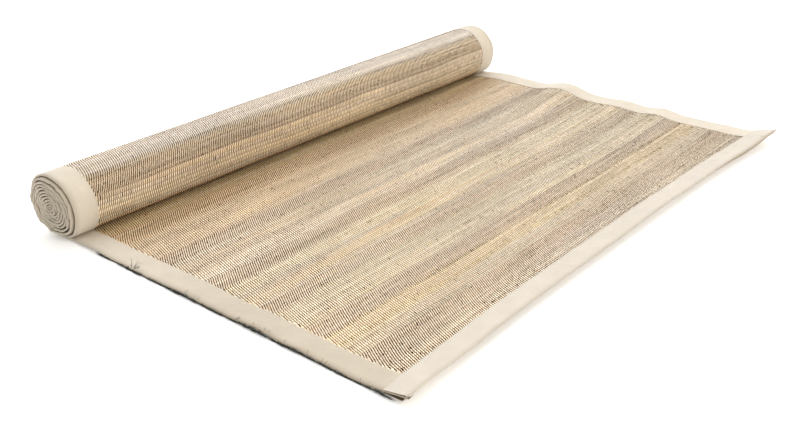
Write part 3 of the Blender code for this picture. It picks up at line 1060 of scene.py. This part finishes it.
def tape_soil_and_shade(section, fold_soil_and_shade, all_over, turn_gap_shade):
    """How soiled and shaded a tape is: soil and painted shade on its fold, a level all over, painted shade
    on the inner turns' leaves, seen only through the gaps between turns, and painted shade on what its
    leaves hide.
    """
    inward, lift = section[:, 0], section[:, 1]
    upper = ramp(lift, 0.2 * MM, lift.max())
    on_fold = 1 - ramp(inward, 1.0 * MM, 3.0 * MM)
    # Soil and painted shade on the fold, easing from its lower side to the upper fold's level
    fold = fold_soil_and_shade[:, None] - (fold_soil_and_shade[:, None] - UPPER_FOLD_SOIL) * upper
    # Painted shade on the inner turns' leaves, which show only through the gaps between the turns
    shade_between_turns = turn_gap_shade[:, None] * ramp(inward, 0.8 * MM, 3.2 * MM)
    soil = np.maximum(on_fold * fold + all_over[:, None], shade_between_turns)
    # Painted shade on the tape's inner face, inside its fold
    soil[:, len(section) // 2:] = 1.0
    return soil


def finish_tape(piece, section, along, shares, soil):
    """The UV maps of a folded tape, whose outer face takes most of the bake's room, and its soil and painted
    shade.
    """
    steps = np.linalg.norm(np.diff(section[:len(section) // 2], axis=0), axis=1)
    outer = np.concatenate([[0.0], np.cumsum(steps)])
    give_uv(piece.data, "cloth", along[:, None], np.concatenate([outer, outer[::-1]]))
    bake = np.concatenate([0.7 * outer / outer[-1], 1 - 0.29 * outer[::-1] / outer[-1]])
    give_uv(piece.data, "OFBake", bake, shares[:, None], closed=True)
    give_values(piece.data, "soil", soil)


def tape_faces(sections, points):
    """The faces of a folded tape, with the ones that close its first and its last section."""
    step = np.arange(points // 2 - 1)
    back = points - 1 - step
    first = np.stack([step, step + 1, back - 1, back], axis=-1)
    return np.concatenate([ring_faces(sections, points), first, first[:, ::-1] + (sections - 1) * points])


def side_stations():
    """Places along a side tape, from the free end to the core."""
    loose = np.linspace(LOOSE_LENGTH - 2 * MM, 3 * MM, 200)
    outer = np.arange(0, FINELY_WOUND_TURNS, 1 / 64)
    inner = np.arange(FINELY_WOUND_TURNS, TURNS, 1 / 40)
    return np.concatenate([loose, -wound_length(np.concatenate([outer, inner, [TURNS]]))])


def side_inward(edge, inward, reach, along, seed, inner_turns):
    """How far in a side tape's points lie. Its fold strays a little, and is ragged in the roll."""
    random = np.random.default_rng(seed)
    shift = 0.3 * MM * wander(along, 63 * MM, seed)
    ragged = 0.9 * wander(along, 24 * MM, seed + 10) + 0.8 * wander(along, 90 * MM, seed + 11)
    shift = shift + (ragged + 0.4 * wander(along, 8 * MM, seed + 12)) * MM * inner_turns
    cut_edge = random.uniform(-RAGGED_EDGE, RAGGED_EDGE, len(along))
    inward = inward + tape_wander(edge, along)[:, None] * reach + shift[:, None] * (1 - reach)
    return inward + cut_edge[:, None] * (reach > 0.99)


def fold_thins(along, seed):
    """The thickness of a side tape's fold in the roll, as a share of its plain one."""
    loose_side = np.cos(2 * np.pi * turn_at(np.maximum(-along, 0.0)) + LOOSE_SIDE)
    thinner = THIN_FOLD - LOOSE_SIDE_THINS * loose_side
    thinner = thinner + THIN_FOLD_WANDERS * wander(along, 27 * MM, seed + 20)
    thinner = thinner + THIN_FOLD_WANDERS * wander(along, 9 * MM, seed + 30)
    return np.clip(thinner, 0.45, 1.01)


def side_lift(shape, lift, reach, along, seed, inner_turns):
    """How high a side tape's points lie. Its end is tucked between the leaves of the end tape."""
    thinner = fold_thins(along, seed)
    squeeze = 1 - (1 - thinner[:, None]) * (1 - reach) * (0.15 + 0.85 * inner_turns[:, None])
    gap = TURN_PITCH - shape.tape_thickness * thinner
    kink = KINK * (gap * wander(along, 16 * MM, seed + 50) * inner_turns)[:, None]
    kink = kink * (1 - ramp(reach, 0.0, 0.4))
    pucker = SIDE_PUCKER * wander(along, 17 * MM, seed + 40)[:, None] * np.sin(np.pi * np.clip(reach, 0, 1))
    middle = shape.tape_thickness / 2
    lift = middle + (lift - middle) * squeeze + pucker + kink
    under_the_end_tape = LOOSE_LENGTH - shape.tape_width
    tucked = ramp(along, under_the_end_tape - 2 * MM, under_the_end_tape + 5 * MM)
    lift = lift + (0.45 * MM - 0.16 * lift) * tucked[:, None]
    return lift - TAPE_STANDS_PROUD * ramp(-along, 0.0, 20 * MM)[:, None]


def make_side_tape(edge, shape, material):
    """The tape on a long edge, folded over it all the way from the free end to the core."""
    section = fold_section(shape, SIDE_NOSE)
    along = side_stations()
    seed = 7 if edge == "near" else 8
    inner_turns = ramp(-along, wound_length(0.9), wound_length(1.6))
    inward, lift = section[:, 0][None, :], section[:, 1][None, :]
    reach = inward / shape.tape_width
    inward = side_inward(edge, inward, reach, along, seed, inner_turns)
    lift = side_lift(shape, lift, reach, along, seed, inner_turns)
    across = inward if edge == "near" else MAT_WIDTH - inward
    points = place(along[:, None], across, lift)
    sunk = corner_sag(along[:, None], across) * (along[:, None] > 0)
    points[..., 2] = np.maximum(points[..., 2] - sunk, OVER_THE_FLOOR)
    faces = tape_faces(len(along), len(section))
    if edge == "near":
        faces = faces[:, ::-1]
    piece = make_object("tape_" + edge, points, faces, material)
    # Painted shade: the near tape darkens towards the free end, and the inner turns' leaves darken where
    # they show through the gaps
    near_tape_shade = NEAR_TAPE_SHADE * (edge == "near") * ramp(along, 60 * MM, 260 * MM)
    soil = tape_soil_and_shade(section, np.full(len(along), SIDE_FOLD_SOIL), near_tape_shade, inner_turns)
    finish_tape(piece, section, along, bake_share(along), soil)
    return piece


def corner_sag(x, across):
    """How far the lower leaf and the side tape hang below the end tape's upper leaf at the near corner."""
    from_the_end = LOOSE_LENGTH + bow(across) - x
    opened = (1 - ramp(from_the_end, 8 * MM, 30 * MM)) * (1 - ramp(across, 2 * MM, CORNER_OPENS))
    return CORNER_SAG * rise(x, across) * opened


def end_shape(inward, lift, across, shape):
    """The end tape's place and height. Its lower leaf is drawn in, and hangs low at the near corner."""
    taper = shape.end_thickness / shape.tape_thickness
    thickness = taper + (1 - taper) * ramp(inward, 0.0, END_THINS_OVER)
    from_corner = np.minimum(across, MAT_WIDTH - across)
    over_tape = OVER_THE_SIDE_TAPE * (1 - ramp(from_corner, 24 * MM, 31 * MM))
    lower = 1 - ramp(lift, 0.0, shape.tape_thickness)
    corner = 1 - ramp(across, 0.0, CORNER_OPENS)
    leaf_in = LOWER_LEAF_IN * (1 - ramp(across, *LEAF_IN_UNTIL)) + CORNER_LEAF_IN * corner
    drawn_in = leaf_in * lower * (1 - ramp(inward, 0.0, 22 * MM))
    x = LOOSE_LENGTH + bow(across) - inward - drawn_in
    hangs = FAR_FOLD_HANGS * hump(across - FAR_FOLD_AT, FAR_FOLD_REACH)
    hangs = hangs * (1 - ramp(inward, 5 * MM, 20 * MM))
    z = rise(x, across) - (corner_sag(x, across) + hangs) * lower + lift * (thickness + over_tape)
    return x, z


def end_tape_edge(across):
    """How far the end tape's inner edge wanders."""
    return 0.35 * MM * wander(across, 130 * MM, 51)


def make_end_tape(shape, material):
    """The tape folded over the free end, across the whole mat and over the ends of the side tapes."""
    section = fold_section(shape, END_NOSE)
    between = np.linspace(38 * MM, MAT_WIDTH - 38 * MM, 190)
    across = np.concatenate([CORNER_LINES, between, MAT_WIDTH - CORNER_LINES[::-1]])
    inward, lift = section[:, 0][None, :], section[:, 1][None, :]
    wide = across[:, None]
    reach = inward / shape.tape_width
    random = np.random.default_rng(9)
    cut_edge = random.uniform(-RAGGED_EDGE, RAGGED_EDGE, len(across))
    inward = inward + end_tape_edge(wide) * reach + 0.3 * MM * wander(wide, 47 * MM, 52) * (1 - reach)
    inward = inward + cut_edge[:, None] * (reach > 0.99)
    from_corner = np.minimum(wide, MAT_WIDTH - wide)
    inward = inward + CORNER_CUT * curl(from_corner, CORNER_ROUND) * (1 - reach)
    pucker = END_PUCKER * wander(wide, 26 * MM, 53) * np.sin(np.pi * np.clip(reach, 0, 1))
    x, z = end_shape(inward, lift, wide, shape)
    z = np.maximum(z + pucker, OVER_THE_FLOOR)
    points = np.stack([x + AXIS_X, np.broadcast_to(wide + EDGE_Y, x.shape), z], axis=-1)
    piece = make_object("tape_end", points, tape_faces(len(across), len(section)), material)
    # Painted shade on the free end's fold, from past the near corner on
    fold_soil_and_shade = END_FOLD_SHADE * ramp(across, 25 * MM, 120 * MM)
    soil = tape_soil_and_shade(section, fold_soil_and_shade, np.full(len(across), END_TAPE_SOIL), 0 * across)
    finish_tape(piece, section, across, across / MAT_WIDTH, soil)
    return piece


def make_side_seam(edge, shape, tape, material):
    """The seam of a side tape, where it shows: on the loose length and round the outer turn."""
    starts = np.arange(-wound_length(1.0), LOOSE_LENGTH - shape.tape_width - 3 * MM, tape.stitch_pitch)
    starts = starts[(starts > 4 * MM) | (starts < -tape.stitch_length - 1 * MM)]
    along = starts[:, None] + np.linspace(0.0, tape.stitch_length, 4)
    inward = shape.tape_width - tape.seam_inset + tape_wander(edge, along)
    across = inward if edge == "near" else MAT_WIDTH - inward
    high = np.array(STITCH_RISE)[None, :]
    lift = np.where(along > 0, shape.tape_thickness + high, -TAPE_STANDS_PROUD - high)
    radii = np.broadcast_to(STITCH_RADII, along.shape)
    return make_strands("seam_" + edge, place(along, across, lift), radii, (0.0, 1.0, 0.0), 4, material)


def make_end_seam(shape, tape, material):
    """The seam of the end tape, on its upper leaf."""
    starts = np.arange(4 * MM, MAT_WIDTH - 6 * MM, tape.stitch_pitch)
    across = starts[:, None] + np.linspace(0.0, tape.stitch_length, 4)
    inward = shape.tape_width - tape.seam_inset + end_tape_edge(across)
    x, z = end_shape(inward, np.full(across.shape, shape.tape_thickness), across, shape)
    paths = np.stack([x + AXIS_X, across + EDGE_Y, z + np.array(STITCH_RISE)], axis=-1)
    radii = np.broadcast_to(STITCH_RADII, across.shape)
    return make_strands("seam_end", paths, radii, (1.0, 0.0, 0.0), 4, material)


def finish_piece(piece, slot, *nodes):
    """Puts a piece on the mat's body and hides the nodes it stands for. The material slot it is made from is
    not used.
    """
    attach(piece, "root")
    if nodes:
        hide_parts(*nodes)


def clear_selection():
    """Deselects everything, which the loaded nodes would otherwise follow."""
    for thing in bpy.context.selected_objects:
        thing.select_set(False)


def add_light(name, place_of, aim, size, power, colour):
    """A square soft light that faces a point."""
    data = bpy.data.lights.new(name, "AREA")
    data.size = size
    data.energy = power
    data.color = colour
    light = bpy.data.objects.new(name, data)
    light.location = place_of
    light.rotation_euler = (aim - place_of).to_track_quat("-Z", "Y").to_euler()
    bpy.context.collection.objects.link(light)


def add_sky(stage):
    """A white sky with a bright backdrop low down behind the mat and to the left."""
    world = bpy.data.worlds.new("studio")
    nodes = Nodes(world, "Background")
    direction = nodes.add("ShaderNodeTexCoord").outputs["Generated"]
    height = nodes.add("ShaderNodeSeparateXYZ", Vector=direction).outputs["Z"]
    level = nodes.spread(height, 0.0, 1.0, stage.sky_around, stage.sky_above)
    facing = nodes.add("ShaderNodeVectorMath", {"operation": "DOT_PRODUCT"})
    nodes.feed(facing.inputs[0], direction)
    nodes.feed(facing.inputs[1], Vector(BRIGHT_SIDE).normalized())
    inputs = {"Value": facing.outputs["Value"], "From Min": BRIGHT_FROM, "To Max": stage.sky_behind}
    glow = nodes.add("ShaderNodeMapRange", {"interpolation_type": "SMOOTHSTEP"}, **inputs)
    nodes.feed(nodes.shader.inputs["Color"], (1.0, 1.0, 1.0, 1.0))
    nodes.feed(nodes.shader.inputs["Strength"], nodes.math("ADD", level, glow.outputs["Result"]))
    bpy.context.scene.world = world


def add_camera(stage):
    """The camera of the photograph."""
    data = bpy.data.cameras.new("camera")
    data.lens = stage.lens
    camera = bpy.data.objects.new("camera", data)
    turned = Matrix.Rotation(CAMERA_YAW, 4, "Z") @ Matrix.Rotation(math.pi / 2 - CAMERA_PITCH, 4, "X")
    turned = turned @ Matrix.Rotation(CAMERA_ROLL, 4, "Z")
    camera.matrix_world = Matrix.Translation(Vector(CAMERA_PLACE) + Vector((AXIS_X, EDGE_Y, 0.0))) @ turned
    bpy.context.collection.objects.link(camera)
    bpy.context.scene.camera = camera


class MAT_OT_bind(bpy.types.Operator):
    """Fold the cotton tapes over the long edges and the free end, and sew them"""

    bl_idname = "mat.bind"
    bl_label = "Bind Edges"

    def execute(self, context):
        shape, tape = context.scene.mat_shape, context.scene.mat_tape
        side_cotton = tape_material(tape, "side_binding", tape.side_tint)
        end_cotton = tape_material(tape, "end_binding", (1.0, 1.0, 1.0))
        thread = plain_material("sewing_thread", tape.thread_colour, 0.05)
        made = []
        for edge in ("near", "far"):
            piece = make_side_tape(edge, shape, side_cotton)
            made.append((edge, piece, make_side_seam(edge, shape, tape, thread)))
        made.append(("end", make_end_tape(shape, end_cotton), make_end_seam(shape, tape, thread)))
        for edge, piece, seam in made:
            finish_piece(piece, "cotton_tape", "binding_" + edge)
            finish_piece(seam, "cotton_tape")
        return {"FINISHED"}


class MAT_OT_weave(bpy.types.Operator):
    """Weave the straw cloth, lay its warp threads over the straws and fray its near edge"""

    bl_idname = "mat.weave"
    bl_label = "Weave Straw Cloth"

    def execute(self, context):
        shape, weave = context.scene.mat_shape, context.scene.mat_weave
        cloth = make_straw_cloth(shape, straw_material(weave))
        finish_piece(cloth, "straw", "straw_field")
        thread = thread_material(weave)
        parts = [
            make_warp("warp_even", 0, shape, weave, thread),
            make_warp("warp_odd", 1, shape, weave, thread),
            # Dark fibres: fray, and painted shade in the gap under the near edge
            make_fibres(plain_material("loose_fibre", weave.fray_and_gap_shade_colour, 0.3)),
        ]
        for part in parts:
            finish_piece(part, "straw")
        return {"FINISHED"}


class MAT_OT_stage(bpy.types.Operator):
    """Set the floor, the lights and the camera"""

    bl_idname = "mat.stage"
    bl_label = "Set Stage"

    def execute(self, context):
        stage = context.scene.mat_stage
        clear_selection()
        bpy.ops.mesh.primitive_plane_add(size=FLOOR_SIZE, location=(0.0, 0.0, FLOOR_HEIGHT))
        floor = context.object
        floor.name = "floor"
        nodes = Nodes(bpy.data.materials.new("pale_floor"))
        nodes.feed(nodes.shader.inputs["Base Color"], (*stage.floor_colour, 1.0))
        nodes.feed(nodes.shader.inputs["Emission Color"], (1.0, 1.0, 1.0, 1.0))
        nodes.feed(nodes.shader.inputs["Emission Strength"], stage.floor_glow)
        nodes.gloss(1.0, 0.0)
        floor.data.materials.append(nodes.owner)
        add_sky(stage)
        for name, place_of, aim, size, colour in LIGHTS:
            add_light(name, Vector(place_of), Vector(aim), size, getattr(stage, name + "_power"), colour)
        add_camera(stage)
        context.scene.view_settings.view_transform = "Standard"
        context.scene.view_settings.look = "Medium High Contrast"
        return {"FINISHED"}


class MAT_PT_panel(bpy.types.Panel):
    """Lists the mat's pieces and the stage"""

    bl_label = "Straw Mat"
    bl_idname = "MAT_PT_panel"
    bl_space_type = "VIEW_3D"
    bl_region_type = "UI"
    bl_category = "Straw Mat"

    def draw(self, context):
        for group, operator in PANEL_ROWS:
            box = self.layout.box()
            settings = getattr(context.scene, group)
            for name in settings.__annotations__:
                box.prop(settings, name)
            if operator:
                box.operator(operator.bl_idname)


GROUPS = {
    "mat_shape": MatShape,
    "mat_tape": TapeLooks,
    "mat_weave": WeaveLooks,
    "mat_stage": StageLooks,
}
OPERATORS = (MAT_OT_bind, MAT_OT_weave, MAT_OT_stage)
PANEL_ROWS = tuple(zip(GROUPS, (None, *OPERATORS)))


def register():
    """Registers the classes and gives the scene its settings."""
    for name, group in GROUPS.items():
        bpy.utils.register_class(group)
        setattr(bpy.types.Scene, name, bpy.props.PointerProperty(type=group))
    for kind in (*OPERATORS, MAT_PT_panel):
        bpy.utils.register_class(kind)


def unregister():
    """Takes the settings and the classes away again."""
    for kind in (MAT_PT_panel, *reversed(OPERATORS)):
        bpy.utils.unregister_class(kind)
    for name, group in reversed(GROUPS.items()):
        delattr(bpy.types.Scene, name)
        bpy.utils.unregister_class(group)


def main():
    """Makes the mat and the stage."""
    register()
    bpy.ops.mat.bind()
    bpy.ops.mat.weave()
    bpy.ops.mat.stage()
    bpy.context.view_layer.update()


if __name__ == "__main__":
    main()
